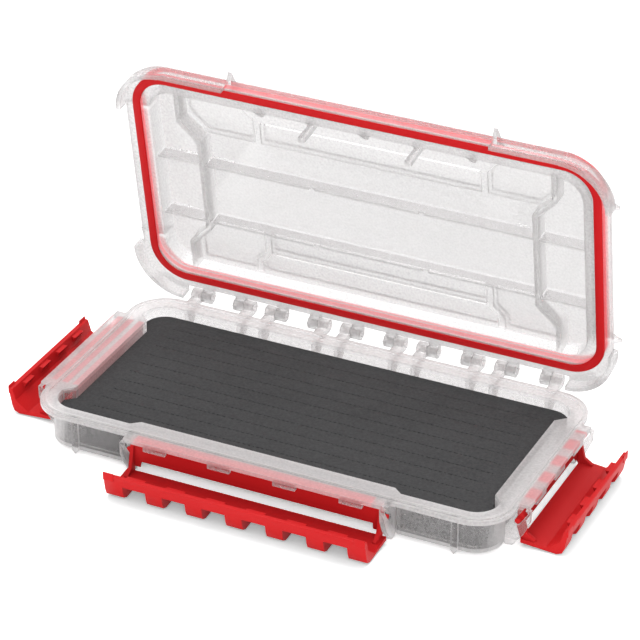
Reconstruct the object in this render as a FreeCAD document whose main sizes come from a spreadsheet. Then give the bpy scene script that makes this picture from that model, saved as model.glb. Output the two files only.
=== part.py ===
import FreeCAD, Part
import os
import Sketcher

# Clear hinged box with a foam insert, a gasketed lid and three swing latches.
# Millimetres. X runs along the box, -Y is the front, +Z is up.
# The origin lies in the middle of the underside that the box stands on.

doc = FreeCAD.newDocument("FlyBox")
sheet = doc.addObject("Spreadsheet::Sheet", "Sizes")

sizes = {
    # tray shell
    "wallHalfLength": 112.2, "wallHalfWidth": 53.7, "wallThick": 2.1, "cavityCorner": 11.0,
    "floorUnder": 1.8, "floorThick": 1.8, "plinthInset": 14.0, "plinthCorner": 9.0,
    # tray rim
    "rimOut": 5.9, "rimCorner": 18.8, "rimTop": 21.8, "rimThick": 2.0, "beadWidth": 1.6,
    "beadHeight": 0.5,
    # latch bays in the tray walls
    "frontBayHalf": 63.5, "frontBayDeep": 3.4, "sideBayHalf": 34.5, "sideBayDeep": 4.6,
    "baySlant": 3.5, "roofOut": 10.6,
    # open stops under the roofs
    "stopWidth": 11.0, "stopThick": 2.0, "stopDrop": 2.5, "stopPitch": 32.6,
    "sideStopPitch": 22.0, "stopInset": 0.2,
    # cheeks that carry the latch pivots
    "cheekThick": 2.4, "cheekGap": 0.6, "cheekOut": 11.5, "cheekTopDrop": 1.0,
    "cheekNoseHeight": 14.0, "cheekWaistOut": 8.4, "cheekWaistHeight": 7.2,
    "cheekToeOut": 3.6, "cheekToeHeight": 0.5, "pivotOut": 5.2, "pivotHeight": 13.0,
    "pinRadius": 1.3, "pinFit": 0.05, "snapSlotWidth": 2.2, "snapSlotOut": 9.6,
    "snapSlotRise": 6.6,
    # front ribs and their feet
    "ribInset": 17.2, "ribWidth": 3.2, "ribOut": 1.6,
    # hinge
    "hingeHeight": 22.5, "hingeOut": 7.0, "hingePitch": 40.0, "knuckleRadius": 3.2,
    "rodRadius": 1.5, "rodFit": 0.05, "knuckleWidth": 5.0, "knuckleGap": 0.3,
    "knuckleInner": 3.4, "gussetThick": 2.0, "gussetFoot": 6.0, "rodEnd": 0.4,
    # foam
    "foamTop": 16.4, "foamClear": 0.5, "foamBedGap": 0.2, "slitPitch": 8.65, "slitDeep": 8.0,
    "slitWidth": 0.35, "slitInset": 17.6, "slitShift": 1.9,
    # lid
    "lidOpenAngle": 80.66, "lidOutSide": 3.3, "lidOutFront": 4.0, "lidOutBack": 2.9,
    "lidCorner": 22.2, "sealGap": 1.1, "lidFlangeThick": 3.0, "lidHeight": 11.7,
    "lidThick": 1.8, "mouthInset": 3.1, "mouthCorner": 12.0, "lidWall": 1.9,
    "lidEdgeChamfer": 1.8, "skirtDrop": 5.4, "skirtThick": 2.0, "bumperOut": 2.6,
    "bumperBackOut": 4.2, "shelfLap": 2.0, "bumperThick": 2.3, "bumperCorner": 24.5, "bumperLong": 21.5,
    "bumperWide": 24.0,
    # ears beside the latches
    "earThick": 1.8, "earGap": 0.5, "earApexRise": 4.5, "earOut": 3.4, "earSlopeInset": 0.8,
    # gasket
    "gasketInset": 0.3, "gasketWidth": 4.1, "gasketCorner": 18.5, "gasketThick": 1.8,
    "gasketProud": 0.3, "gasketFit": 0.1,
    # inner ribs of the lid
    "bracketInset": 27.3, "bracketStraight": 25.6, "bracketSlant": 9.8, "bracketThick": 2.4,
    "bracketHigh": 8.9, "longRibThick": 1.4, "longRibFrontY": -11.4, "longRibRearY": 21.7,
    "longRibHigh": 7.7, "ribNotchX": 28.0, "ribNotchWidth": 3.0, "ribNotchDeep": 1.2,
    "finPitch": 26.7, "finLong": 6.9, "finThick": 2.0, "finHigh": 9.4, "postWidth": 3.2,
    "postDeep": 2.5, "postFromWall": 5.6, "foamPostGap": 0.8,
    # relief of the lid's top
    "reliefDeep": 1.6, "panelHalfLength": 54.5, "panelNearY": 27.8, "panelFarY": 36.5,
    "panelGap": 6.0, "panelSlant": 5.5, "rearPanelGap": 3.4, "hexRibGap": 1.7, "hexSlant": 9.0,
    "hexTurn": 2.0, "reliefEdge": 1.0, "reliefLap": 1.3,
    # latches
    "armThick": 1.8, "plateThick": 1.8, "plateTop": 6.3, "plateBottom": 4.5,
    "lipHalfExtra": 2.0, "sideLipHalfExtra": 1.2, "latchFloorInner": 1.3,
    "latchFloorDrop": 11.4, "latchFloorThick": 2.0, "bendOut": 22.1, "bendDrop": 12.6,
    "bendRound": 3.6, "tipOut": 23.8, "tipRise": 0.1, "tipSlope": 0.1, "lipThick": 2.1,
    "hookReach": 2.6, "hookHigh": 2.6, "hookDrop": 1.0, "fillOut": 6.5, "fillHigh": 4.8,
    "toothPitch": 20.0, "sideToothPitch": 15.6, "toothGap": 10.6, "sideToothGap": 8.0,
    "endToothWidth": 5.2, "endToothRise": 1.3, "scoopWidth": 11.6, "sideScoopWidth": 9.0,
    "scoopTop": 5.6, "armShoulderOut": 4.0, "armFootOut": 8.0, "armShoulderDrop": 6.8,
    "windowFill": 3.0,
    # one overrun for cuts that pass through
    "overrun": 1.0,
}
# Lengths that follow from the ones above.
derived = {
    "rimHalfLength": "wallHalfLength + rimOut", "rimHalfWidth": "wallHalfWidth + rimOut",
    "plinthHalfLength": "wallHalfLength - plinthInset", "plinthHalfWidth": "wallHalfWidth - plinthInset",
    "ribCentre": "wallHalfLength - ribInset", "slitHalfLength": "wallHalfLength - slitInset",
    "hingeY": "rimHalfWidth + hingeOut",
    "gasketHalfLength": "rimHalfLength - gasketInset", "gasketHalfWidth": "rimHalfWidth - gasketInset",
    "lidHalfLength": "rimHalfLength + lidOutSide", "lidFront": "rimHalfWidth + lidOutFront",
    "lidBack": "rimHalfWidth + lidOutBack", "lidUnder": "rimTop + sealGap",
    "lidTop": "lidUnder + lidHeight", "lidRoof": "lidTop - lidThick",
    "mouthHalfLength": "wallHalfLength - mouthInset", "mouthHalfWidth": "wallHalfWidth - mouthInset",
    "bumperStartX": "lidHalfLength - bumperLong", "frontBumperEndY": "lidFront - bumperWide",
    "rearBumperEndY": "lidBack - bumperLong",
    "bracketX": "wallHalfLength - bracketInset", "bracketTip": "lidRoof - bracketHigh",
    "longRibTip": "lidRoof - longRibHigh", "finTip": "lidRoof - finHigh",
    "postY": "postFromWall - mouthHalfWidth", "postTip": "foamTop + foamPostGap",
    "hexInnerX": "panelHalfLength + panelGap", "hexOuterX": "bracketX + bracketSlant - hexRibGap",
    "hexFarY": "mouthHalfWidth - reliefEdge",
}
rows = list(sizes.items()) + [(alias, "=" + formula) for alias, formula in derived.items()]
for row, (alias, amount) in enumerate(rows, start=1):
    sheet.set(f"A{row}", alias)
    sheet.set(f"B{row}", str(amount))
    sheet.setAlias(f"B{row}", alias)
doc.recompute()


def number(text):
    return float(sheet.evalExpression(text.replace("Sizes.", "")))


def bind(thing, **expressions):
    for name, text in expressions.items():
        thing.setExpression(name.replace("_", "."), text)


# Sketch helpers. A point is a pair of expressions.
turns = {
    "XY": FreeCAD.Rotation(),
    "XZ": FreeCAD.Rotation(FreeCAD.Vector(1, 0, 0), 90),
    "YZ": FreeCAD.Rotation(FreeCAD.Vector(1, 1, 1), 120),
}


def draw_polygon(sketch, points):
    corners = [FreeCAD.Vector(number(x), number(y), 0) for x, y in points]
    first = sketch.GeometryCount
    count = len(corners)
    for index in range(count):
        sketch.addGeometry(Part.LineSegment(corners[index], corners[(index + 1) % count]))
    for index in range(count):
        line = first + index
        sketch.addConstraint(Sketcher.Constraint("Coincident", line, 2, first + (index + 1) % count, 1))
        across = sketch.addConstraint(Sketcher.Constraint("DistanceX", -1, 1, line, 1, corners[index].x))
        sketch.setExpression(f"Constraints[{across}]", points[index][0])
        along = sketch.addConstraint(Sketcher.Constraint("DistanceY", -1, 1, line, 1, corners[index].y))
        sketch.setExpression(f"Constraints[{along}]", points[index][1])


def draw_rectangle(sketch, left, low, right, high):
    draw_polygon(sketch, [(left, low), (right, low), (right, high), (left, high)])


def draw_rounded(sketch, half_x, front, back, radius):
    # Straight sides and quarter arcs, tangent to each other, symmetric about X = 0.
    right, low, high, round_ = number(half_x), -number(front), number(back), number(radius)
    centres = [(right - round_, low + round_), (right - round_, high - round_),
               (round_ - right, high - round_), (round_ - right, low + round_)]
    names_x = [f"{half_x} - ({radius})", f"{half_x} - ({radius})",
               f"({radius}) - ({half_x})", f"({radius}) - ({half_x})"]
    names_y = [f"({radius}) - ({front})", f"{back} - ({radius})",
               f"{back} - ({radius})", f"({radius}) - ({front})"]
    quarter = 1.5707963267948966
    first = sketch.GeometryCount
    for index, (x, y) in enumerate(centres):
        circle = Part.Circle(FreeCAD.Vector(x, y, 0), FreeCAD.Vector(0, 0, 1), round_)
        start = (index - 1) * quarter
        sketch.addGeometry(Part.ArcOfCircle(circle, start, start + quarter))
    ends = [sketch.getPoint(first + index, 2) for index in range(4)]
    starts = [sketch.getPoint(first + index, 1) for index in range(4)]
    for index in range(4):
        sketch.addGeometry(Part.LineSegment(ends[index], starts[(index + 1) % 4]))
    for index in range(4):
        arc, line, after = first + index, first + 4 + index, first + (index + 1) % 4
        sketch.addConstraint(Sketcher.Constraint("Tangent", arc, 2, line, 1))
        sketch.addConstraint(Sketcher.Constraint("Tangent", line, 2, after, 1))
    for index in range(4):
        arc = first + index
        size = sketch.addConstraint(Sketcher.Constraint("Radius", arc, round_))
        sketch.setExpression(f"Constraints[{size}]", radius)
        across = sketch.addConstraint(Sketcher.Constraint("DistanceX", -1, 1, arc, 3, centres[index][0]))
        sketch.setExpression(f"Constraints[{across}]", names_x[index])
        along = sketch.addConstraint(Sketcher.Constraint("DistanceY", -1, 1, arc, 3, centres[index][1]))
        sketch.setExpression(f"Constraints[{along}]", names_y[index])


# PartDesign helpers for the shells.
def new_body(name):
    return doc.addObject("PartDesign::Body", name)


def level_sketch(body, name, height):
    sketch = body.newObject("Sketcher::SketchObject", name)
    plane = next(item for item in body.Origin.OriginFeatures if item.Role == "XY_Plane")
    sketch.AttachmentSupport = [(plane, "")]
    sketch.MapMode = "FlatFace"
    sketch.setExpression("AttachmentOffset.Base.z", height)
    return sketch


def grow(body, name, sketch, length):
    feature = body.newObject("PartDesign::Pad", name)
    feature.Profile = sketch
    bind(feature, Length=length)
    return feature


def sink(body, name, sketch, length, upwards):
    feature = body.newObject("PartDesign::Pocket", name)
    feature.Profile = sketch
    feature.Reversed = upwards
    bind(feature, Length=length)
    return feature


# Loose pieces that are joined to a shell.
def prism(name, plane, outlines, start, length):
    # The outline lies in the plane, start is where it stands along the plane's normal axis.
    sketch = doc.addObject("Sketcher::SketchObject", name + "_outline")
    sketch.Placement = FreeCAD.Placement(FreeCAD.Vector(), turns[plane])
    for points in outlines:
        draw_polygon(sketch, points)
    axis = {"XY": "z", "XZ": "y", "YZ": "x"}[plane]
    sketch.setExpression(f"Placement.Base.{axis}", start)
    body = doc.addObject("Part::Extrusion", name)
    body.Base = sketch
    body.DirMode = "Custom"
    body.Dir = FreeCAD.Vector(axis == "x", axis == "y", axis == "z")
    body.Solid = True
    bind(body, LengthFwd=length)
    return body


def box(name, left, front, low, length, width, height):
    body = doc.addObject("Part::Box", name)
    bind(body, Length=length, Width=width, Height=height,
         Placement_Base_x=left, Placement_Base_y=front, Placement_Base_z=low)
    return body


def rod_along_x(name, left, y, z, length, radius):
    body = doc.addObject("Part::Cylinder", name)
    body.Placement = FreeCAD.Placement(FreeCAD.Vector(), FreeCAD.Rotation(FreeCAD.Vector(0, 1, 0), 90))
    bind(body, Radius=radius, Height=length,
         Placement_Base_x=left, Placement_Base_y=y, Placement_Base_z=z)
    return body


def rod_along_y(name, x, front, z, length, radius):
    body = doc.addObject("Part::Cylinder", name)
    body.Placement = FreeCAD.Placement(FreeCAD.Vector(), FreeCAD.Rotation(FreeCAD.Vector(1, 0, 0), -90))
    bind(body, Radius=radius, Height=length,
         Placement_Base_x=x, Placement_Base_y=front, Placement_Base_z=z)
    return body


def join(name, pieces):
    body = doc.addObject("Part::MultiFuse", name)
    body.Shapes = pieces
    body.Refine = True
    return body


def cut(name, base, tools):
    body = doc.addObject("Part::Cut", name)
    body.Base = base
    body.Tool = tools[0] if len(tools) == 1 else join(name + "_tools", tools)
    body.Refine = True
    return body


# Counts, and shares of a length.
slit_count = 10
fin_count = 5
fins_with_posts = (1, 3)
front_stop_count = 4
side_stop_count = 3
front_tooth_count = 6
side_tooth_count = 4
mitre_share = 0.414
arc_share = 0.293
knuckle_under_share = 0.8
post_top_share = 0.2
post_foot_share = 0.75
scoop_slope_share = 0.75

# Places that several pieces share.
hinge_y = "Sizes.hingeY"
hinge_z = "Sizes.hingeHeight"
rim_under = "(Sizes.rimTop - Sizes.rimThick)"
roof_edge_front = "(Sizes.wallHalfWidth + Sizes.roofOut)"
roof_edge_side = "(Sizes.wallHalfLength + Sizes.roofOut)"
front_arm_half = "(Sizes.frontBayHalf - Sizes.cheekGap)"
side_cheek_inner = "(Sizes.sideBayHalf + Sizes.baySlant / 3)"
side_arm_half = f"({side_cheek_inner} - Sizes.cheekGap)"
front_lip_half = f"({front_arm_half} + Sizes.lipHalfExtra)"
side_lip_half = f"({side_arm_half} + Sizes.sideLipHalfExtra)"
front_ear_inner = f"({front_lip_half} + Sizes.earGap)"
side_ear_inner = f"({side_lip_half} + Sizes.earGap)"


def mirror_x(outline):
    return [(f"-({x})", y) for x, y in reversed(outline)]


def mirror_y(outline):
    return [(x, f"-({y})") for x, y in reversed(outline)]


def turned(outline):
    # The same outline on the right-hand side: what faced -Y faces +X.
    return [(f"-({y})", x) for x, y in outline]


def bay_outline(half, wall, deep, slant):
    # A trapezoid in the wall that faces -Y, wider where it meets the wall.
    return [(f"-({half}) - ({slant})", f"-({wall})"), (f"{half} + {slant}", f"-({wall})"),
            (half, f"-({wall}) + {deep}"), (f"-({half})", f"-({wall}) + {deep}")]


def open_bay_outline(half, wall, deep, slant):
    # The same, run out through the wall's face.
    left, right, top_right, top_left = bay_outline(half, wall, deep, slant)
    beyond = f"-({wall}) - Sizes.overrun"
    return [(left[0], beyond), (right[0], beyond), right, top_right, top_left, left]


# Tray
def tray_shell():
    body = new_body("tray_shell")
    outline = level_sketch(body, "tray_wall_outline", "Sizes.floorUnder")
    draw_rounded(outline, "Sizes.wallHalfLength", "Sizes.wallHalfWidth", "Sizes.wallHalfWidth",
                 "Sizes.cavityCorner + Sizes.wallThick")
    grow(body, "tray_wall", outline, "Sizes.rimTop - Sizes.floorUnder")
    rim = level_sketch(body, "tray_rim_outline", rim_under)
    draw_rounded(rim, "Sizes.rimHalfLength", "Sizes.rimHalfWidth", "Sizes.rimHalfWidth", "Sizes.rimCorner")
    grow(body, "tray_rim", rim, "Sizes.rimThick")
    bead = level_sketch(body, "tray_bead_outline", "Sizes.rimTop")
    middle = "Sizes.gasketWidth / 2"
    for side in ("- Sizes.beadWidth / 2", "+ Sizes.beadWidth / 2"):
        draw_rounded(bead, f"Sizes.gasketHalfLength - {middle} {side}",
                     f"Sizes.gasketHalfWidth - {middle} {side}",
                     f"Sizes.gasketHalfWidth - {middle} {side}",
                     f"Sizes.gasketCorner - {middle} {side}")
    grow(body, "tray_bead", bead, "Sizes.beadHeight")
    cavity = level_sketch(body, "tray_cavity_outline", "Sizes.floorUnder + Sizes.floorThick")
    draw_rounded(cavity, "Sizes.wallHalfLength - Sizes.wallThick", "Sizes.wallHalfWidth - Sizes.wallThick",
                 "Sizes.wallHalfWidth - Sizes.wallThick", "Sizes.cavityCorner")
    sink(body, "tray_cavity", cavity, "Sizes.rimTop", True)
    plinth = level_sketch(body, "tray_plinth_outline", "0")
    draw_rounded(plinth, "Sizes.plinthHalfLength", "Sizes.plinthHalfWidth", "Sizes.plinthHalfWidth",
                 "Sizes.plinthCorner")
    grow(body, "tray_plinth", plinth, "Sizes.floorUnder + Sizes.floorThick / 2")
    return body


def bay_pieces():
    shell = "Sizes.wallThick / 2"
    front_bump = bay_outline("Sizes.frontBayHalf", f"Sizes.wallHalfWidth - {shell}",
                             f"Sizes.frontBayDeep + {shell}", "Sizes.baySlant + Sizes.wallThick")
    side_bump = turned(bay_outline("Sizes.sideBayHalf", f"Sizes.wallHalfLength - {shell}",
                                   f"Sizes.sideBayDeep + {shell}", "Sizes.baySlant + Sizes.wallThick"))
    front_bay = open_bay_outline("Sizes.frontBayHalf", "Sizes.wallHalfWidth", "Sizes.frontBayDeep",
                                 "Sizes.baySlant")
    side_bay = turned(open_bay_outline("Sizes.sideBayHalf", "Sizes.wallHalfLength", "Sizes.sideBayDeep",
                                       "Sizes.baySlant"))
    bump_low, bump_high = "Sizes.floorUnder + Sizes.floorThick / 2", "Sizes.rimTop"
    bump_outlines = {"front": front_bump, "right": side_bump, "left": mirror_x(side_bump)}
    bumps = [prism(f"bay_wall_{name}", "XY", [points], bump_low, f"{bump_high} - ({bump_low})")
             for name, points in bump_outlines.items()]
    bay_outlines = {"front": front_bay, "right": side_bay, "left": mirror_x(side_bay)}
    bays = [prism(f"bay_hollow_{name}", "XY", [points], "-Sizes.overrun", f"{rim_under} + Sizes.overrun")
            for name, points in bay_outlines.items()]
    return bumps, bays


def roof_pieces():
    # The rim runs out over each bay and carries the stops that the open latch leans on.
    pieces = [box("roof_front", "-Sizes.frontBayHalf - Sizes.overrun", f"-{roof_edge_front}", rim_under,
                  "2 * (Sizes.frontBayHalf + Sizes.overrun)", "Sizes.roofOut", "Sizes.rimThick")]
    for name, left in (("right", "Sizes.wallHalfLength"), ("left", f"-{roof_edge_side}")):
        pieces.append(box(f"roof_{name}", left, f"-{side_cheek_inner} - Sizes.overrun", rim_under,
                          "Sizes.roofOut", f"2 * ({side_cheek_inner} + Sizes.overrun)", "Sizes.rimThick"))
    low = f"{rim_under} - Sizes.stopDrop"
    high = "Sizes.stopDrop + Sizes.rimThick / 2"
    for index in range(front_stop_count):
        centre = f"{index - (front_stop_count - 1) / 2} * Sizes.stopPitch"
        pieces.append(box(f"stop_front_{index}", f"{centre} - Sizes.stopWidth / 2",
                          f"-{roof_edge_front} + Sizes.stopInset", low, "Sizes.stopWidth",
                          "Sizes.stopThick", high))
    right = f"{roof_edge_side} - Sizes.stopInset - Sizes.stopThick"
    left = f"-{roof_edge_side} + Sizes.stopInset"
    for index in range(side_stop_count):
        front = f"{index - (side_stop_count - 1) / 2} * Sizes.sideStopPitch - Sizes.stopWidth / 2"
        for hand, start in (("right", right), ("left", left)):
            pieces.append(box(f"stop_{hand}_{index}", start, front, low, "Sizes.stopThick",
                              "Sizes.stopWidth", high))
    return pieces


def cheek_outline(wall, inward):
    # Seen along the box wall: out is the distance beyond the wall.
    def at(out, height):
        return (f"-({wall}) - ({out})", height)
    top = "Sizes.rimTop - Sizes.cheekTopDrop"
    return [at(f"-({inward})", top), at("0", top), at("Sizes.cheekOut", rim_under),
            at("Sizes.cheekOut - Sizes.stopInset", "Sizes.cheekNoseHeight"),
            at("Sizes.cheekWaistOut", "Sizes.cheekWaistHeight"),
            at("Sizes.cheekToeOut", "Sizes.cheekToeHeight"), at("0", "0"),
            at(f"-({inward})", "Sizes.floorUnder")]


def snap_slot_outline(wall):
    # The slot leads from the cheek's upper edge down to the pivot hole.
    def at(out, height):
        return (f"-({wall}) - ({out})", height)
    half = "Sizes.snapSlotWidth / 2"
    return [at(f"Sizes.pivotOut - {half}", f"Sizes.pivotHeight + {half}"),
            at(f"Sizes.pivotOut + {half}", f"Sizes.pivotHeight - {half}"),
            at(f"Sizes.snapSlotOut + {half}", f"Sizes.pivotHeight + Sizes.snapSlotRise - {half}"),
            at(f"Sizes.snapSlotOut - {half}", f"Sizes.pivotHeight + Sizes.snapSlotRise + {half}")]


def cheek_pieces():
    cheeks, cuts = [], []
    inward = "Sizes.wallThick / 2"
    hole = "Sizes.pinRadius + Sizes.pinFit"
    front = cheek_outline("Sizes.wallHalfWidth", inward)
    front_slot = snap_slot_outline("Sizes.wallHalfWidth")
    for name, start in (("right", "Sizes.frontBayHalf"), ("left", "-Sizes.frontBayHalf - Sizes.cheekThick")):
        cheeks.append(prism(f"cheek_front_{name}", "YZ", [front], start, "Sizes.cheekThick"))
        cuts.append(prism(f"slot_front_{name}", "YZ", [front_slot], f"{start} - Sizes.overrun",
                          "Sizes.cheekThick + 2 * Sizes.overrun"))
        cuts.append(rod_along_x(f"pivot_hole_front_{name}", f"{start} - Sizes.overrun",
                                "-Sizes.wallHalfWidth - Sizes.pivotOut", "Sizes.pivotHeight",
                                "Sizes.cheekThick + 2 * Sizes.overrun", hole))
    side = cheek_outline("Sizes.wallHalfLength", inward)
    side_slot = snap_slot_outline("Sizes.wallHalfLength")
    for hand, shape, slot, sign in (("left", side, side_slot, "-"),
                                    ("right", mirror_x(side), mirror_x(side_slot), "")):
        for end, start in (("rear", side_cheek_inner), ("fore", f"-{side_cheek_inner} - Sizes.cheekThick")):
            cheeks.append(prism(f"cheek_{hand}_{end}", "XZ", [shape], start, "Sizes.cheekThick"))
            cuts.append(prism(f"slot_{hand}_{end}", "XZ", [slot], f"{start} - Sizes.overrun",
                              "Sizes.cheekThick + 2 * Sizes.overrun"))
            cuts.append(rod_along_y(f"pivot_hole_{hand}_{end}",
                                    f"{sign}(Sizes.wallHalfLength + Sizes.pivotOut)",
                                    f"{start} - Sizes.overrun", "Sizes.pivotHeight",
                                    "Sizes.cheekThick + 2 * Sizes.overrun", hole))
    return cheeks, cuts


def front_ribs():
    pieces = []
    for name, centre in (("right", "Sizes.ribCentre"), ("left", "-Sizes.ribCentre")):
        half = "Sizes.ribWidth / 2"
        outline = [(f"{centre} - {half}", rim_under), (f"{centre} - {half}", "Sizes.floorUnder"),
                   (centre, "0"), (f"{centre} + {half}", "Sizes.floorUnder"),
                   (f"{centre} + {half}", rim_under)]
        pieces.append(prism(f"front_rib_{name}", "XZ", [outline], "-Sizes.wallHalfWidth - Sizes.ribOut",
                            "Sizes.ribOut + Sizes.wallThick / 2"))
    return pieces


# Hinge: pairs of tray knuckles about each centre, with the lid's knuckles outside them.
def knuckle_starts(offset):
    # Left edges of the knuckles that begin this far from their centre.
    starts = []
    for step in ("-0.5", "0.5", "-1.5", "1.5"):
        centre = f"{step} * Sizes.hingePitch"
        starts.append(f"{centre} + {offset}")
        starts.append(f"{centre} - {offset} - Sizes.knuckleWidth")
    last = "2.5 * Sizes.hingePitch"
    starts.append(f"{last} - {offset} - Sizes.knuckleWidth")
    starts.append(f"-{last} + {offset}")
    return starts


def tray_knuckles():
    pieces = []
    middle = "(Sizes.knuckleWidth - Sizes.gussetThick) / 2"
    web = [("Sizes.wallHalfWidth - Sizes.wallThick / 2", rim_under),
           ("Sizes.wallHalfWidth - Sizes.wallThick / 2", "Sizes.gussetFoot"),
           ("Sizes.wallHalfWidth", "Sizes.gussetFoot"),
           (f"{hinge_y} + Sizes.knuckleRadius / 2",
            f"{hinge_z} - Sizes.knuckleRadius * {knuckle_under_share}"),
           (hinge_y, hinge_z), ("Sizes.rimHalfWidth", "Sizes.rimTop"),
           ("Sizes.wallHalfWidth - Sizes.wallThick / 2", "Sizes.rimTop")]
    arm = [("Sizes.rimHalfWidth - Sizes.overrun", rim_under),
           (hinge_y, f"{hinge_z} - Sizes.knuckleRadius"), (hinge_y, hinge_z),
           ("Sizes.rimHalfWidth - Sizes.overrun", "Sizes.rimTop")]
    for index, start in enumerate(knuckle_starts("Sizes.knuckleInner")):
        pieces.append(rod_along_x(f"tray_knuckle_{index}", start, hinge_y, hinge_z,
                                  "Sizes.knuckleWidth", "Sizes.knuckleRadius"))
        pieces.append(prism(f"tray_arm_{index}", "YZ", [arm], start, "Sizes.knuckleWidth"))
        pieces.append(prism(f"tray_gusset_{index}", "YZ", [web], f"{start} + {middle}",
                            "Sizes.gussetThick"))
    return pieces


def rod_end():
    return "(2.5 * Sizes.hingePitch - Sizes.knuckleInner + Sizes.rodEnd)"


def rod_bore(name):
    half = f"({rod_end()} + Sizes.overrun)"
    return rod_along_x(name, f"-{half}", hinge_y, hinge_z, f"2 * {half}", "Sizes.rodRadius + Sizes.rodFit")


def make_tray():
    bumps, bays = bay_pieces()
    cheeks, cheek_cuts = cheek_pieces()
    shell = join("tray_walls", [tray_shell()] + bumps)
    recessed = cut("tray_with_bays", shell, bays)
    full = join("tray_with_fittings", [recessed] + roof_pieces() + cheeks + front_ribs() + tray_knuckles())
    return cut("base_tray", full, cheek_cuts + [rod_bore("tray_rod_bore")])


def make_rod():
    return rod_along_x("hinge_rod", f"-{rod_end()}", hinge_y, hinge_z, f"2 * {rod_end()}", "Sizes.rodRadius")


# Foam
def make_foam():
    body = new_body("foam_block")
    low = "Sizes.floorUnder + Sizes.floorThick + Sizes.foamBedGap"
    outline = level_sketch(body, "foam_outline", low)
    edge = "Sizes.wallThick + Sizes.foamClear"
    draw_rounded(outline, f"Sizes.wallHalfLength - ({edge})", f"Sizes.wallHalfWidth - ({edge})",
                 f"Sizes.wallHalfWidth - ({edge})", "Sizes.cavityCorner - Sizes.foamClear")
    grow(body, "foam_slab", outline, f"Sizes.foamTop - ({low})")
    slits = level_sketch(body, "foam_slit_outline", "Sizes.foamTop - Sizes.slitDeep")
    for index in range(slit_count):
        centre = f"Sizes.slitShift + {index - (slit_count - 1) / 2} * Sizes.slitPitch"
        draw_rectangle(slits, "-Sizes.slitHalfLength", f"{centre} - Sizes.slitWidth / 2",
                       "Sizes.slitHalfLength", f"{centre} + Sizes.slitWidth / 2")
    sink(body, "foam_slits", slits, "Sizes.slitDeep + Sizes.overrun", True)
    room = "Sizes.wallThick + Sizes.foamClear"
    front = open_bay_outline("Sizes.frontBayHalf + Sizes.foamClear", "Sizes.wallHalfWidth",
                             f"Sizes.frontBayDeep + {room}", f"Sizes.baySlant + {room}")
    side = turned(open_bay_outline("Sizes.sideBayHalf + Sizes.foamClear", "Sizes.wallHalfLength",
                                   f"Sizes.sideBayDeep + {room}", f"Sizes.baySlant + {room}"))
    notches = [prism(f"foam_notch_{name}", "XY", [points], "0", "Sizes.foamTop + Sizes.overrun")
               for name, points in (("front", front), ("right", side), ("left", mirror_x(side)))]
    return cut("foam_insert", body, notches)


# Lid, drawn shut
def lid_shell():
    body = new_body("lid_shell")
    flange = level_sketch(body, "lid_flange_outline", "Sizes.lidUnder")
    draw_rounded(flange, "Sizes.lidHalfLength", "Sizes.lidFront", "Sizes.lidBack", "Sizes.lidCorner")
    grow(body, "lid_flange", flange, "Sizes.lidFlangeThick")
    dome = level_sketch(body, "lid_dome_outline", "Sizes.lidUnder")
    draw_rounded(dome, "Sizes.mouthHalfLength + Sizes.lidWall", "Sizes.mouthHalfWidth + Sizes.lidWall",
                 "Sizes.mouthHalfWidth + Sizes.lidWall", "Sizes.mouthCorner + Sizes.lidWall")
    grow(body, "lid_dome", dome, "Sizes.lidTop - Sizes.lidUnder")
    doc.recompute()
    raised = body.Tip
    top = number("Sizes.lidTop")
    edges = [f"Edge{index + 1}" for index, edge in enumerate(raised.Shape.Edges)
             if abs(edge.BoundBox.ZMin - top) < 1e-6 and abs(edge.BoundBox.ZMax - top) < 1e-6]
    dressed = body.newObject("PartDesign::Chamfer", "lid_top_edge")
    dressed.Base = (raised, edges)
    bind(dressed, Size="Sizes.lidEdgeChamfer")
    body.Tip = dressed
    hollow = level_sketch(body, "lid_hollow_outline", "Sizes.lidUnder")
    draw_rounded(hollow, "Sizes.mouthHalfLength", "Sizes.mouthHalfWidth", "Sizes.mouthHalfWidth",
                 "Sizes.mouthCorner")
    sink(body, "lid_hollow", hollow, "Sizes.lidTop - Sizes.lidThick - Sizes.lidUnder", True)
    groove = level_sketch(body, "lid_groove_outline", "Sizes.lidUnder")
    for side in ("Sizes.gasketFit", "-Sizes.gasketWidth - Sizes.gasketFit"):
        draw_rounded(groove, f"Sizes.gasketHalfLength + {side}", f"Sizes.gasketHalfWidth + {side}",
                     f"Sizes.gasketHalfWidth + {side}", f"Sizes.gasketCorner + {side}")
    sink(body, "lid_groove", groove, "Sizes.gasketThick - Sizes.gasketProud", True)
    return body


def hex_outline(grown):
    # A corner panel: its outer side runs beside the bracket rib, its inner far corner is cut off.
    inner, outer = f"Sizes.hexInnerX - {grown}", f"Sizes.hexOuterX + {grown}"
    near, far = f"-Sizes.panelNearY + {grown}", f"-Sizes.hexFarY - {grown}"
    turn = "-Sizes.panelFarY - Sizes.hexTurn"
    return [(inner, near), (f"{outer} - Sizes.hexSlant", near), (outer, f"{near} - Sizes.hexSlant"),
            (outer, far), (f"{inner} + Sizes.panelSlant", far),
            (f"{inner} + Sizes.panelSlant", f"{turn} - Sizes.panelSlant"), (inner, turn)]


def panel_outline(grown):
    half = f"(Sizes.panelHalfLength + {grown})"
    near, far = f"-Sizes.panelNearY + {grown}", f"-Sizes.panelFarY - {grown}"
    return [(f"-{half}", far), (half, far), (half, near), (f"-{half}", near)]


def rear_panel_outline(grown):
    # The panel behind the rear one widens towards the hinge.
    half = f"(Sizes.panelHalfLength + {grown})"
    near, far = f"Sizes.panelFarY + Sizes.rearPanelGap - {grown}", f"Sizes.hexFarY + {grown}"
    wide = f"({half} + Sizes.panelSlant)"
    return [(f"-{half}", near), (half, near), (wide, f"{near} + Sizes.panelSlant"), (wide, far),
            (f"-{wide}", far), (f"-{wide}", f"{near} + Sizes.panelSlant")]


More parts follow.
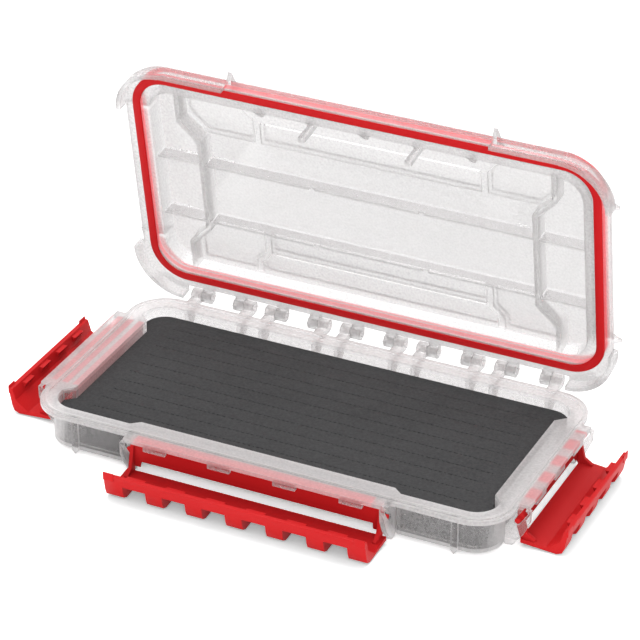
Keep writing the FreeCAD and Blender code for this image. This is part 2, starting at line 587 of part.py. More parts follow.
def relief_outlines(grown):
    front = [hex_outline(grown), mirror_x(hex_outline(grown)), panel_outline(grown)]
    return front + [mirror_y(outline) for outline in front] + [rear_panel_outline(grown)]


def relief_pieces():
    # Each panel sinks into the top, and its floor stands inside the lid by as much.
    floors = prism("relief_floors", "XY", relief_outlines("Sizes.reliefLap"),
                   "Sizes.lidRoof - Sizes.reliefDeep", "Sizes.reliefDeep + Sizes.lidThick / 2")
    hollows = prism("relief_hollows", "XY", relief_outlines("0"),
                    "Sizes.lidTop - Sizes.reliefDeep", "Sizes.reliefDeep + Sizes.overrun")
    return floors, hollows


def lid_ribs():
    pieces = []
    roof = "(Sizes.lidTop - Sizes.lidThick / 2)"
    half = "Sizes.bracketThick / 2"
    far = "Sizes.mouthHalfWidth + Sizes.lidWall / 2"
    slant = f"{half} * {mitre_share}"
    for name, flip in (("right", False), ("left", True)):
        outline = []
        for side, sign in (("outer", "+"), ("inner", "-")):
            run = [(f"Sizes.bracketX {sign} {half}", f"-Sizes.bracketStraight {sign} {slant}"),
                   (f"Sizes.bracketX + Sizes.bracketSlant {sign} {half}",
                    f"-Sizes.bracketStraight - Sizes.bracketSlant {sign} {slant}"),
                   (f"Sizes.bracketX + Sizes.bracketSlant {sign} {half}", f"-({far})")]
            whole = mirror_y(run) + run
            outline += whole if side == "outer" else list(reversed(whole))
        if flip:
            outline = mirror_x(outline)
        pieces.append(prism(f"bracket_rib_{name}", "XY", [outline], "Sizes.bracketTip",
                            f"{roof} - Sizes.bracketTip"))
    for name, y in (("front", "Sizes.longRibFrontY"), ("rear", "Sizes.longRibRearY")):
        tip, notch = "Sizes.longRibTip", "Sizes.longRibTip + Sizes.ribNotchDeep"
        end = "(Sizes.mouthHalfLength + Sizes.lidWall / 2)"
        edge = [(f"-{end}", roof), (f"-{end}", tip)]
        for centre in ("-Sizes.ribNotchX", "Sizes.ribNotchX"):
            left, right = f"{centre} - Sizes.ribNotchWidth / 2", f"{centre} + Sizes.ribNotchWidth / 2"
            edge += [(left, tip), (left, notch), (right, notch), (right, tip)]
        edge += [(end, tip), (end, roof)]
        pieces.append(prism(f"long_rib_{name}", "XZ", [edge], f"{y} - Sizes.longRibThick / 2",
                            "Sizes.longRibThick"))
    wall, inner = "-Sizes.mouthHalfWidth - Sizes.lidWall / 2", "-Sizes.mouthHalfWidth"
    fin = [(wall, roof), (wall, "Sizes.finTip"), (inner, "Sizes.finTip"),
           (f"{inner} + Sizes.finLong", "Sizes.lidRoof - Sizes.finLong / 2"),
           (f"{inner} + Sizes.finLong", roof)]
    for index in range(fin_count):
        centre = f"{index - (fin_count - 1) / 2} * Sizes.finPitch"
        pieces.append(prism(f"lid_fin_{index}", "YZ", [fin], f"{centre} - Sizes.finThick / 2",
                            "Sizes.finThick"))
        if index in fins_with_posts:
            pieces.append(box(f"foam_post_{index}", f"{centre} - Sizes.postWidth / 2",
                              "Sizes.postY - Sizes.postDeep / 2", "Sizes.postTip", "Sizes.postWidth",
                              "Sizes.postDeep", f"{roof} - Sizes.postTip"))
    return pieces


def ear_outline(reach, wall):
    # Seen along the edge: the fin's foot lies on the flange and its back climbs the dome.
    apex = "Sizes.lidUnder + Sizes.earApexRise"
    foot = "Sizes.lidUnder + Sizes.gasketThick + Sizes.gasketFit"
    return [(f"-({wall}) + Sizes.lidWall / 2", foot), (f"-({reach})", foot),
            (f"-({reach}) - Sizes.earOut", apex),
            (f"-({wall}) - Sizes.earSlopeInset", "Sizes.lidTop - Sizes.lidEdgeChamfer / 2"),
            (f"-({wall}) + Sizes.lidWall / 2", "Sizes.lidTop - Sizes.lidEdgeChamfer")]


def lid_ears():
    pieces = []
    front = ear_outline("Sizes.lidFront", "Sizes.mouthHalfWidth + Sizes.lidWall")
    for name, start in (("right", front_ear_inner), ("left", f"-{front_ear_inner} - Sizes.earThick")):
        pieces.append(prism(f"ear_front_{name}", "YZ", [front], start, "Sizes.earThick"))
    side = ear_outline("Sizes.lidHalfLength", "Sizes.mouthHalfLength + Sizes.lidWall")
    for hand, shape in (("left", side), ("right", mirror_x(side))):
        for end, start in (("rear", side_ear_inner), ("fore", f"-{side_ear_inner} - Sizes.earThick")):
            pieces.append(prism(f"ear_{hand}_{end}", "XZ", [shape], start, "Sizes.earThick"))
    return pieces


def lid_skirt():
    # A ring of skirt and bumper, cut back to the stretches that carry it.
    body = new_body("lid_skirt_ring")
    low = "Sizes.lidUnder - Sizes.skirtDrop"
    ring = level_sketch(body, "bumper_outline", low)
    for inset in ("0", "Sizes.bumperThick"):
        draw_rounded(ring, f"Sizes.lidHalfLength + Sizes.bumperOut - {inset}", f"Sizes.lidFront - {inset}",
                     f"Sizes.lidBack + Sizes.bumperBackOut - {inset}", f"Sizes.bumperCorner - {inset}")
    grow(body, "bumper_ring", ring, "Sizes.skirtDrop + Sizes.lidFlangeThick / 2")
    shelf = level_sketch(body, "bumper_shelf_outline", "Sizes.lidUnder")
    half = "Sizes.bumperThick / 2"
    draw_rounded(shelf, f"Sizes.lidHalfLength + Sizes.bumperOut - {half}", f"Sizes.lidFront - {half}",
                 f"Sizes.lidBack + Sizes.bumperBackOut - {half}", f"Sizes.bumperCorner - {half}")
    draw_rounded(shelf, "Sizes.lidHalfLength - Sizes.shelfLap", "Sizes.lidFront - Sizes.shelfLap",
                 "Sizes.lidBack - Sizes.shelfLap", "Sizes.lidCorner - Sizes.shelfLap")
    grow(body, "bumper_shelf", shelf, "Sizes.lidFlangeThick / 2")
    reach = "2 * Sizes.lidHalfLength"
    keep = []
    for hand in ("right", "left"):
        front = [("Sizes.bumperStartX", f"-{reach}"), (reach, f"-{reach}"),
                 (reach, "-Sizes.frontBumperEndY"), ("Sizes.bumperStartX", "-Sizes.frontBumperEndY")]
        rear = [("Sizes.bumperStartX", "Sizes.rearBumperEndY"), (reach, "Sizes.rearBumperEndY"),
                (reach, reach), ("Sizes.bumperStartX", reach)]
        outlines = [front, rear]
        if hand == "left":
            outlines = [mirror_x(outline) for outline in outlines]
        keep.append(prism(f"bumper_zone_{hand}", "XY", outlines, low, "2 * Sizes.lidTop"))
    zones = join("bumper_zones", keep)
    corners = doc.addObject("Part::Common", "lid_bumpers")
    corners.Base = body
    corners.Tool = zones
    skirts = []
    start = "(Sizes.frontBayHalf + Sizes.cheekThick + Sizes.cheekGap)"
    for name, left in (("right", start), ("left", "-Sizes.bumperStartX - Sizes.skirtThick")):
        skirts.append(box(f"front_skirt_{name}", left, "-Sizes.lidFront", low,
                          f"Sizes.bumperStartX + Sizes.skirtThick - {start}", "Sizes.skirtThick",
                          "Sizes.skirtDrop + Sizes.lidFlangeThick / 2"))
    return [corners] + skirts


def lid_knuckles():
    pieces = []
    offset = "Sizes.knuckleInner + Sizes.knuckleWidth + Sizes.knuckleGap"
    for index, start in enumerate(knuckle_starts(f"({offset})")):
        pieces.append(rod_along_x(f"lid_knuckle_{index}", start, hinge_y, hinge_z,
                                  "Sizes.knuckleWidth", "Sizes.knuckleRadius"))
        pieces.append(box(f"lid_arm_{index}", start, "Sizes.lidBack - Sizes.overrun", "Sizes.lidUnder",
                          "Sizes.knuckleWidth", f"{hinge_y} - Sizes.lidBack + Sizes.overrun",
                          "Sizes.lidFlangeThick"))
    return pieces


def open_lid(part):
    axis = FreeCAD.Vector(0, number("Sizes.hingeY"), number("Sizes.hingeHeight"))
    turn = FreeCAD.Rotation(FreeCAD.Vector(1, 0, 0), -number("Sizes.lidOpenAngle"))
    part.Placement = FreeCAD.Placement(FreeCAD.Vector(), turn, axis)


def make_lid():
    floors, hollows = relief_pieces()
    inside = join("lid_inner_form", [lid_shell(), floors] + lid_ribs())
    full = join("lid_with_fittings", [inside] + lid_ears() + lid_skirt() + lid_knuckles())
    lid = cut("lid", full, [hollows, rod_bore("lid_rod_bore")])
    open_lid(lid)
    return lid


def make_gasket():
    body = new_body("lid_gasket")
    outline = level_sketch(body, "gasket_outline", "Sizes.lidUnder - Sizes.gasketProud")
    for inset in ("0", "Sizes.gasketWidth"):
        draw_rounded(outline, f"Sizes.gasketHalfLength - {inset}", f"Sizes.gasketHalfWidth - {inset}",
                     f"Sizes.gasketHalfWidth - {inset}", f"Sizes.gasketCorner - {inset}")
    grow(body, "gasket_band", outline, "Sizes.gasketThick")
    open_lid(body)
    return body


# Latches, drawn about their own pivot: outward is -Y, the pivot runs along X.
def latch_section(points):
    return [(f"-({out})", height) for out, height in points]


def latch_channel():
    # The floor, the bend and the lip in one outline; the bend's outer corner is rounded.
    out, drop, round_ = "Sizes.bendOut", "-Sizes.bendDrop", "Sizes.bendRound"
    inner = "Sizes.bendOut - Sizes.lipThick"
    tip_inner = "Sizes.tipOut - Sizes.lipThick"
    floor_top = "-Sizes.latchFloorDrop + Sizes.latchFloorThick"
    return latch_section([
        ("Sizes.latchFloorInner", "-Sizes.latchFloorDrop"), (f"{out} - {round_}", drop),
        (f"{out} - {round_} * {arc_share}", f"{drop} + {round_} * {arc_share}"),
        (out, f"{drop} + {round_}"), ("Sizes.tipOut", "Sizes.tipRise"),
        (tip_inner, "Sizes.tipRise - Sizes.tipSlope"),
        (inner, f"{drop} + Sizes.lipThick + Sizes.fillHigh"),
        (f"{inner} - Sizes.fillOut", f"{drop} + Sizes.latchFloorThick"),
        ("Sizes.latchFloorInner", floor_top)])


def latch_arm():
    back = "-Sizes.plateThick / 2"
    return latch_section([
        (back, "Sizes.plateTop"), (back, "-Sizes.plateBottom"),
        ("Sizes.latchFloorInner", "-Sizes.latchFloorDrop"), ("Sizes.armFootOut", "-Sizes.latchFloorDrop"),
        ("Sizes.armFootOut", "-Sizes.latchFloorDrop + Sizes.latchFloorThick"),
        ("Sizes.armShoulderOut", "-Sizes.armShoulderDrop"), ("Sizes.plateThick / 2", "Sizes.plateTop")])


def make_latch(name, arm_half, lip_half, count, pitch, gap, scoop_width):
    half_plate = "Sizes.plateThick / 2"
    plate = latch_section([(f"-{half_plate}", "-Sizes.plateBottom"), (half_plate, "-Sizes.plateBottom"),
                           (half_plate, "Sizes.plateTop"), (f"-{half_plate}", "Sizes.plateTop")])
    pieces = [prism(f"{name}_plate", "YZ", [plate], f"-{arm_half}", f"2 * {arm_half}"),
              prism(f"{name}_channel", "YZ", [latch_channel()], f"-{lip_half}", f"2 * {lip_half}")]
    for hand, start in (("right", f"{arm_half} - Sizes.armThick"), ("left", f"-{arm_half}")):
        pieces.append(prism(f"{name}_arm_{hand}", "YZ", [latch_arm()], start, "Sizes.armThick"))
    # The lower corners of the window between plate and floor are filled.
    fill = latch_section([(f"-{half_plate}", "-Sizes.plateBottom"), (half_plate, "-Sizes.plateBottom"),
                          (half_plate, "-Sizes.plateBottom - Sizes.windowFill")])
    fill_wide = "(Sizes.armThick + Sizes.windowFill)"
    for hand, start in (("right", f"{arm_half} - {fill_wide}"), ("left", f"-{arm_half}")):
        pieces.append(prism(f"{name}_fill_{hand}", "YZ", [fill], start, fill_wide))
    reach = "Sizes.cheekGap + Sizes.cheekThick"
    for hand, start in (("right", f"{arm_half} - Sizes.armThick / 2"),
                        ("left", f"-{arm_half} - ({reach}) + Sizes.armThick / 2")):
        pieces.append(rod_along_x(f"{name}_pin_{hand}", start, "0", "0", reach, "Sizes.pinRadius"))
    # The teeth hook inwards from the lip, and a post stands up at each end of it.
    lip_inner = "Sizes.tipOut - Sizes.lipThick"
    hook_top = "Sizes.tipRise - Sizes.hookDrop"
    hook = latch_section([("Sizes.tipOut - Sizes.lipThick / 2", hook_top),
                          (f"{lip_inner} - Sizes.hookReach", hook_top),
                          (f"{lip_inner} - Sizes.hookReach / 2", f"{hook_top} - Sizes.hookHigh"),
                          ("Sizes.tipOut - Sizes.lipThick / 2", f"{hook_top} - Sizes.hookHigh")])
    for index in range(count):
        centre = f"{index - (count - 1) / 2} * {pitch}"
        pieces.append(prism(f"{name}_tooth_{index}", "YZ", [hook],
                            f"{centre} - ({pitch} - {gap}) / 2", f"{pitch} - {gap}"))
    post_top = "Sizes.tipRise + Sizes.endToothRise"
    post = latch_section([("Sizes.tipOut", "Sizes.tipRise - Sizes.hookHigh"),
                          ("Sizes.tipOut", post_top),
                          (f"Sizes.tipOut - {post_top_share} * Sizes.lipThick", post_top),
                          (f"Sizes.tipOut - {post_foot_share} * Sizes.lipThick",
                           "Sizes.tipRise - Sizes.hookHigh")])
    for hand, start in (("right", f"{lip_half} - Sizes.endToothWidth"), ("left", f"-{lip_half}")):
        pieces.append(prism(f"{name}_end_tooth_{hand}", "YZ", [post], start, "Sizes.endToothWidth"))
    # A slanting plane under each tooth cuts the bend away; the fill inside keeps the wall whole.
    below = "Sizes.bendDrop + Sizes.overrun"
    beyond = "Sizes.tipOut + Sizes.overrun"
    scoop = latch_section([(f"Sizes.bendOut - ({below} - Sizes.scoopTop) / {scoop_slope_share}",
                            f"-({below})"), (beyond, f"-({below})"),
                           (beyond, f"({beyond} - Sizes.bendOut) * {scoop_slope_share}"
                                    " - Sizes.scoopTop")])
    cuts = []
    for index in range(count):
        centre = f"{index - (count - 1) / 2} * {pitch}"
        cuts.append(prism(f"{name}_scoop_{index}", "YZ", [scoop], f"{centre} - {scoop_width} / 2",
                          scoop_width))
    return cut(name, join(f"{name}_form", pieces), cuts)


def place_latch(part, x, y, heading):
    spot = FreeCAD.Vector(x, y, number("Sizes.pivotHeight"))
    part.Placement = FreeCAD.Placement(spot, FreeCAD.Rotation(FreeCAD.Vector(0, 0, 1), heading))


def make_latches():
    front = make_latch("front_latch", front_arm_half, front_lip_half, front_tooth_count,
                       "Sizes.toothPitch", "Sizes.toothGap", "Sizes.scoopWidth")
    place_latch(front, 0, -number("Sizes.wallHalfWidth + Sizes.pivotOut"), 0)
    out = number("Sizes.wallHalfLength + Sizes.pivotOut")
    side_sizes = ("Sizes.sideToothPitch", "Sizes.sideToothGap", "Sizes.sideScoopWidth")
    left = make_latch("left_latch", side_arm_half, side_lip_half, side_tooth_count, *side_sizes)
    place_latch(left, -out, 0, -90)
    right = make_latch("right_latch", side_arm_half, side_lip_half, side_tooth_count, *side_sizes)
    place_latch(right, out, 0, 90)
    return [front, left, right]


nodes = [make_tray(), make_rod(), make_foam(), make_lid(), make_gasket()] + make_latches()
for node in nodes:
    node.Label = node.Name
doc.recompute()

for item in doc.Objects:
    if "Invalid" in item.State or "Error" in item.State:
        raise RuntimeError(f"{item.Name} could not be built")
os.makedirs("parts", exist_ok=True)
for node in nodes:
    shape = node.Shape
    if shape.isNull() or not shape.isValid():
        raise RuntimeError(f"{node.Name} has no sound shape")
    print(f"{node.Label}: {len(shape.Solids)} solid, {shape.Volume:.0f} mm3")
for node in nodes:
    node.Shape.exportStep(os.path.join("parts", node.Label + ".step"))
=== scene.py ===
import math

import bmesh
import bpy
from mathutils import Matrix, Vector


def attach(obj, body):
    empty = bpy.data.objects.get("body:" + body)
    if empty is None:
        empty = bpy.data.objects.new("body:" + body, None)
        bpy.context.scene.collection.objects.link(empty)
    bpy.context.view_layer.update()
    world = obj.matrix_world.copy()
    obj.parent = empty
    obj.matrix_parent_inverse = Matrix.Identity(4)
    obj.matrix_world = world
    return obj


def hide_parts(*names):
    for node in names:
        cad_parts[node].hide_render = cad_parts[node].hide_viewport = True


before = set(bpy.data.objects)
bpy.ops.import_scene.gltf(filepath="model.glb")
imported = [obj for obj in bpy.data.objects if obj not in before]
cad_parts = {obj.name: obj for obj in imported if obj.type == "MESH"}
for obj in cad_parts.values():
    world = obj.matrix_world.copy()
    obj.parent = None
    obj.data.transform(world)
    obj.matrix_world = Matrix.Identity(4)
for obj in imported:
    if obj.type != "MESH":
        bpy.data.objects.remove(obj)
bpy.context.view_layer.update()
mm = 0.001  # sizes in the settings are millimetres, apart from the lamps and the camera


def grey(tone):
    return (tone, tone, tone, 1)


def placed(name, data):
    item = bpy.data.objects.new(name, data)
    bpy.context.scene.collection.objects.link(item)
    return item


def aim(item, place, target):
    item.location = place
    item.rotation_euler = (Vector(target) - Vector(place)).to_track_quat("-Z", "Y").to_euler()


# A Wire wraps one number socket, and a sum of wires adds the Math nodes for it.
class Wire:
    def __init__(self, graph, socket):
        self.graph = graph
        self.socket = socket

    def math(self, operation, first, second=0.0):
        return self.graph.node("ShaderNodeMath", {"operation": operation}, {0: first, 1: second})["Value"]

    def __add__(self, other):
        return self.math("ADD", self, other)

    def __radd__(self, other):
        return self.math("ADD", other, self)

    def __sub__(self, other):
        return self.math("SUBTRACT", self, other)

    def __rsub__(self, other):
        return self.math("SUBTRACT", other, self)

    def __mul__(self, other):
        return self.math("MULTIPLY", self, other)

    def __rmul__(self, other):
        return self.math("MULTIPLY", other, self)

    def __neg__(self):
        return self.math("MULTIPLY", self, -1.0)

    def largest(self, other):
        return self.math("MAXIMUM", self, other)

    def size(self):
        return self.largest(-self)

    def between(self):
        # Held from zero to one
        return self.math("MINIMUM", self.largest(0.0), 1.0)

    def step(self, soft):
        # Rises from zero at zero to one at this length, and is held there
        return (self * (1 / soft)).between()

    def wave(self):
        return self.math("SINE", self)

    def root(self):
        return self.math("SQRT", self)


class Outputs:
    def __init__(self, graph, made):
        self.graph = graph
        self.made = made

    def __getitem__(self, name):
        return Wire(self.graph, self.made.outputs[name])


# One node tree: of a material, of the world or of a geometry group
class Graph:
    def __init__(self, tree):
        self.tree = tree
        tree.nodes.clear()

    def node(self, kind, settings=None, inputs=None):
        made = self.tree.nodes.new(kind)
        for name, value in (settings or {}).items():
            setattr(made, name, value)
        for name, value in (inputs or {}).items():
            if isinstance(value, Wire):
                self.tree.links.new(value.socket, made.inputs[name])
            else:
                made.inputs[name].default_value = value
        return Outputs(self, made)

    def noise(self, scale, detail=2.0, roughness=0.5):
        place = self.node("ShaderNodeTexCoord")["Object"]
        return self.node("ShaderNodeTexNoise", {}, {
            "Vector": place, "Scale": scale, "Detail": detail, "Roughness": roughness})["Fac"]

    def split(self, coordinate):
        # The three parts of the piece's own place or direction, under X, Y and Z
        vector = self.node("ShaderNodeTexCoord")[coordinate]
        return self.node("ShaderNodeSeparateXYZ", {}, {"Vector": vector})

    def mixColour(self, factor, first, second):
        return self.node("ShaderNodeMix", {"data_type": "RGBA"}, {0: factor, 6: first, 7: second})[2]

    def bump(self, height, strength, distance):
        return self.node("ShaderNodeBump", {}, {
            "Height": height, "Strength": strength, "Distance": distance})["Normal"]


def newMaterial(name, surface):
    material = bpy.data.materials.new(name)
    material.use_nodes = True
    graph = Graph(material.node_tree)
    graph.node("ShaderNodeOutputMaterial", {}, {"Surface": surface(graph)})
    return material


def spread(look, wire):
    # Roughness between the smooth and the rough of a finish
    return look["smooth"] + wire * (look["rough"] - look["smooth"])


# Clear plastic: a milky veil with a fine grain, denser where a surface is seen edge-on, and painted darker
# there as shade
clearLook = {
    "veilGrain": 0.30, "veilCloud": 0.05, "noiseMiddle": 0.5, "grainScale": 900, "cloudScale": 40,
    "smooth": 0.30, "rough": 0.42, "grainBump": 0.3, "bump": 0.2, "bumpDeep": 0.1,
    "blend": 0.5, "clear": 0.40, "ior": 1.38, "shadowShare": 0.90,
}
# Painted red light: the red of the latches and the seal, painted into the clear plastic where it shows in it
paintedRedLook = {"veil": 0.38, "colour": (0.92, 0.15, 0.17, 1)}


def clearPlastic(graph, own, glow=0.0, haze=0.0):
    look = clearLook
    grain = graph.noise(look["grainScale"])
    cloud = graph.noise(look["cloudScale"])
    facing = graph.node("ShaderNodeLayerWeight", {}, {"Blend": look["blend"]})["Facing"]
    edge = facing.math("POWER", facing, own["edgePower"])
    # Painted shade: the colour turns darker where the surface is seen edge-on
    colour = graph.mixColour(edge, own["colour"], own["edgeColour"])
    relief = grain * look["grainBump"] + cloud
    # Painted red light from the latches and the seal tints the colour here
    body = graph.node("ShaderNodeBsdfPrincipled", {}, {
        "Base Color": graph.mixColour(glow, colour, paintedRedLook["colour"]),
        "Roughness": spread(look, cloud), "IOR": look["ior"], "Transmission Weight": look["clear"],
        "Normal": graph.bump(relief, look["bump"], look["bumpDeep"] * mm)})["BSDF"]
    clear = graph.node("ShaderNodeBsdfTransparent", {}, {"Color": own["through"]})["BSDF"]
    flat = own["flat"] - look["noiseMiddle"] * (look["veilGrain"] + look["veilCloud"])
    veil = grain * look["veilGrain"] + cloud * look["veilCloud"] + edge * own["edge"] + flat
    # Painted red light from the latches and the seal also thickens the veil
    veil = veil + glow * paintedRedLook["veil"] + haze
    shadow = graph.node("ShaderNodeLightPath")["Is Shadow Ray"]
    return graph.node("ShaderNodeMixShader", {}, {
        0: veil * (1.0 - shadow * look["shadowShare"]), 1: clear, 2: body})["Shader"]


# The tray is denser from the rim's height up, and its foot below the foam is paler.
trayLook = {
    "colour": (0.84, 0.825, 0.825, 1), "edgeColour": (0.78, 0.76, 0.76, 1),
    "through": (0.855, 0.847, 0.847, 1), "flat": 0.11, "edge": 1.55, "edgePower": 2.2,
    "foot": 4.0, "footSoft": 0.3, "footVeil": 0.50, "rim": 19.6, "rimSoft": 0.4, "rimVeil": 0.24,
}
# The tray's painted red light, where the latches' red shows through it: share, middle, half size, and the
# axis, pitch and shift of stripes
paintedRedZoneLook = {
    "front": (0.85, (0.0, -61.5, 20.7), (60.0, 3.4, 1.8), None),
    "left": (0.46, (-113.0, 0.0, 15.0), (10.5, 33.0, 8.5), ("X", 5.6, 2.0)),
    "right": (0.9, (120.3, 0.0, 20.7), (3.4, 32.0, 1.8), ("Y", 15.0, 0.0)),
    "soft": 1.2, "contrast": 1.2, "lift": 0.75,
}


def paintedRedZone(place, name):
    share, middle, half, stripes = paintedRedZoneLook[name]
    for axis, centre, reach in zip("XYZ", middle, half):
        away = (place[axis] - centre * mm).size()
        share = (reach * mm - away).step(paintedRedZoneLook["soft"] * mm) * share
    if stripes:
        axis, pitch, shift = stripes
        wave = ((place[axis] + shift * mm) * (2 * math.pi / (pitch * mm))).wave()
        share = share * (wave * paintedRedZoneLook["contrast"] + paintedRedZoneLook["lift"]).between()
    return share


def trayPlastic(graph):
    look = trayLook
    place = graph.split("Object")
    # Painted red light: where the red of the latches shows through the tray
    red = paintedRedZone(place, "front").largest(paintedRedZone(place, "left")).largest(paintedRedZone(place, "right"))
    foot = (look["foot"] * mm - place["Z"]).step(look["footSoft"] * mm) * look["footVeil"]
    rim = (place["Z"] - look["rim"] * mm).step(look["rimSoft"] * mm) * look["rimVeil"]
    return clearPlastic(graph, look, red, foot + rim)


rodLook = {
    "colour": (0.86, 0.845, 0.845, 1), "edgeColour": (0.66, 0.64, 0.64, 1),
    "through": (0.985, 0.98, 0.98, 1), "flat": 0.06, "edge": 0.40, "edgePower": 2.2,
}


def rodPlastic(graph):
    return clearPlastic(graph, rodLook)


# The lid is hazy, apart from the sides of its long rails, and denser in a strip by the hinge.
lidLook = {
    "colour": (0.63, 0.62, 0.62, 1), "edgeColour": (0.53, 0.515, 0.515, 1),
    "through": (0.93, 0.926, 0.926, 1), "flat": 0.16, "edge": 0.60, "edgePower": 3.0,
    "haze": 0.24, "railStart": 0.80, "railSoft": 0.10,
    "strip": 58.5, "stripSoft": 1.0, "stripVeil": 0.26,
}
# Its patterns are laid out on the shut lid, this many degrees down from the raised one.
shutLook = {"hingeY": 66.6, "hingeZ": 22.5, "angle": 80.66}
# Its outer side has a painted reflection of the seal: a pale red band, a little aside of the seal.
sealReflectionLook = {
    "halfLength": 115.75, "halfWidth": 57.25, "corner": 16.5, "asideX": 2.4, "asideY": -4.8,
    "level": 23.8, "reach": 1.6, "high": 3.0, "soft": 0.7,
}


def shutTurn(across, rise):
    # The same two lengths as they lie on the shut lid
    turn = math.radians(shutLook["angle"])
    shutAcross = across * math.cos(turn) - rise * math.sin(turn)
    shutRise = across * math.sin(turn) + rise * math.cos(turn)
    return shutAcross, shutRise


def shutPlace(graph):
    # Where each point of the raised lid lies when the lid is shut
    place = graph.split("Object")
    hingeY = shutLook["hingeY"] * mm
    hingeZ = shutLook["hingeZ"] * mm
    shutY, shutZ = shutTurn(place["Y"] - hingeY, place["Z"] - hingeZ)
    return {"X": place["X"], "Y": shutY + hingeY, "Z": shutZ + hingeZ}


def paintedSealReflection(graph):
    # Painted reflection of the seal: one on the mirrored loop, nothing beyond its reach and its height
    look = sealReflectionLook
    soft = look["soft"] * mm
    place = shutPlace(graph)
    pastX = (place["X"] - look["asideX"] * mm).size() - (look["halfLength"] - look["corner"]) * mm
    pastY = (place["Y"] - look["asideY"] * mm).size() - (look["halfWidth"] - look["corner"]) * mm
    outX = pastX.largest(0.0)
    outY = pastY.largest(0.0)
    inside = (-pastX.largest(pastY)).largest(0.0)
    ring = (outX * outX + outY * outY).root() - inside - look["corner"] * mm
    level = place["Z"] - look["level"] * mm
    beside = (look["reach"] * mm - ring.size()).step(soft)
    above = (look["high"] * mm - level.size()).step(soft)
    return beside * above


def lidHaze(graph):
    look = lidLook
    facing = graph.split("Normal")
    side, flat = shutTurn(facing["Y"], facing["Z"])
    rail = (side.size() - look["railStart"]).step(look["railSoft"])
    strip = (shutPlace(graph)["Y"] - look["strip"] * mm).step(look["stripSoft"] * mm)
    return (1.0 - rail) * look["haze"] + strip * look["stripVeil"]


def lidPlastic(graph):
    return clearPlastic(graph, lidLook, paintedSealReflection(graph), lidHaze(graph))


# Red plastic of the latches; light that it sends to other surfaces is grey, so nothing nearby turns pink.
redLook = {
    "colour": (0.58, 0.009, 0.011, 1), "pale": (0.66, 0.015, 0.017, 1), "sent": (0.10, 0.09, 0.09, 1),
    "cloudScale": 45, "cloudDetail": 3, "grainScale": 1500, "smooth": 0.42, "rough": 0.55, "gloss": 0.14,
    "grainBump": 0.35, "bump": 0.3, "bumpDeep": 0.1,
}


def redPlastic(graph):
    look = redLook
    cloud = graph.noise(look["cloudScale"], look["cloudDetail"])
    grain = graph.noise(look["grainScale"])
    sent = graph.node("ShaderNodeLightPath")["Is Diffuse Ray"]
    colour = graph.mixColour(cloud, look["colour"], look["pale"])
    return graph.node("ShaderNodeBsdfPrincipled", {}, {
        "Base Color": graph.mixColour(sent, colour, look["sent"]),
        "Roughness": spread(look, grain), "Specular IOR Level": look["gloss"],
        "Normal": graph.bump(grain * look["grainBump"], look["bump"], look["bumpDeep"] * mm)})["BSDF"]


# Rubber of the seal
sealLook = {
    "colour": (0.54, 0.007, 0.010, 1), "pale": (0.62, 0.011, 0.014, 1), "cloudScale": 120,
    "cloudDetail": 3, "grainScale": 1800, "smooth": 0.5, "rough": 0.68, "gloss": 0.15,
    "bump": 0.25, "bumpDeep": 0.1,
}


def sealRubber(graph):
    look = sealLook
    cloud = graph.noise(look["cloudScale"], look["cloudDetail"])
    grain = graph.noise(look["grainScale"])
    return graph.node("ShaderNodeBsdfPrincipled", {}, {
        "Base Color": graph.mixColour(cloud, look["colour"], look["pale"]),
        "Roughness": spread(look, grain), "Specular IOR Level": look["gloss"],
        "Normal": graph.bump(grain, look["bump"], look["bumpDeep"] * mm)})["BSDF"]


# Closed-cell foam
foamLook = {
    "dark": (0.010, 0.010, 0.011, 1), "pale": (0.098, 0.098, 0.100, 1), "cloudScale": 30,
    "cloudShare": 0.2, "speckleScale": 750, "speckleDetail": 3, "speckleRough": 0.75,
    "cellScale": 1500, "cellShare": 0.6, "smooth": 0.82, "rough": 0.94, "gloss": 0.25,
    "bump": 0.9, "bumpDeep": 0.15,
}


def foamSkin(graph):
    look = foamLook
    place = graph.node("ShaderNodeTexCoord")["Object"]
    cells = graph.node("ShaderNodeTexVoronoi", {}, {"Vector": place, "Scale": look["cellScale"]})
    speckle = graph.noise(look["speckleScale"], look["speckleDetail"], look["speckleRough"])
    cloud = graph.noise(look["cloudScale"])
    tone = speckle * (1.0 - look["cloudShare"]) + cloud * look["cloudShare"]
    relief = cells["Distance"] * look["cellShare"] + speckle * (1.0 - look["cellShare"])
    return graph.node("ShaderNodeBsdfPrincipled", {}, {
        "Base Color": graph.mixColour(tone, look["dark"], look["pale"]),
        "Roughness": spread(look, speckle), "Specular IOR Level": look["gloss"],
        "Normal": graph.bump(relief, look["bump"], look["bumpDeep"] * mm)})["BSDF"]


finishes = {
    "tray": newMaterial("trayPlastic", trayPlastic),
    "rod": newMaterial("rodPlastic", rodPlastic),
    "lid": newMaterial("lidPlastic", lidPlastic),
    "red": newMaterial("redPlastic", redPlastic),
    "seal": newMaterial("sealRubber", sealRubber),
    "foam": newMaterial("foamSkin", foamSkin),
}
print("materials ready")


